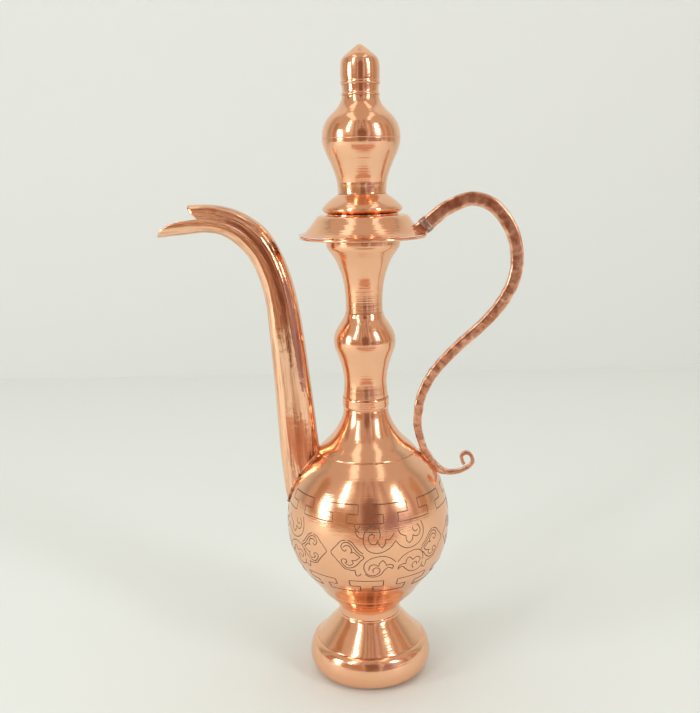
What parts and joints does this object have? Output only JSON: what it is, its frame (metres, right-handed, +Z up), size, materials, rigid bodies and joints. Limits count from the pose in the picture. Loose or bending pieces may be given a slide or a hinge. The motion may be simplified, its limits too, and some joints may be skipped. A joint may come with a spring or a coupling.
{
  "type": "covered ewer",
  "caption": "Covered copper ewer with a ring foot, round belly, knopped neck, saucer rim, lift-off lid, long beaked spout and scrolled bar handle.",
  "frame": {"origin": "centre of the foot's flat underside, on the axis that the foot, belly, neck and lid share", "axes": "+Z up the shared axis, -X towards the spout's beak, +X towards the handle, Y across the ewer"},
  "size_m": [0.1801, 0.0842, 0.32],
  "materials": {
    "copper": "polished copper sheet, fine turning lines",
    "bright_copper": "brightly polished copper sheet",
    "bar_copper": "hammered, brownish copper bar",
    "grey_solder": "dull grey tin solder",
    "dark_solder": "darkened solder with burnt flux"
  },
  "bodies": {
    "ewer": {"foot_ring": "copper", "foot_base_plate": "copper", "foot_cone": "copper", "foot_solder": "grey_solder", "belly_bowl": "copper", "shoulder_solder": "dark_solder", "shoulder": "copper", "neck_collar": "copper", "neck_knop": "bright_copper", "neck_cup": "bright_copper", "rim_saucer": "bright_copper", "rim_bead": "copper", "spout_tube": "bright_copper", "spout_solder": "grey_solder", "handle_bar": "bar_copper", "handle_top_solder": "grey_solder", "handle_belly_solder": "dark_solder"},
    "lid": {"lid_flange": "bright_copper", "lid_sleeve": "copper", "lid_cup": "copper", "lid_dome": "copper", "finial_collar": "copper", "finial_cap": "copper"}
  },
  "joints": [
    {"name": "lid_lift", "type": "slide", "parent": "ewer", "child": "lid", "axis": [0, 0, 1], "range_m": [0, 0.04]}
  ]
}
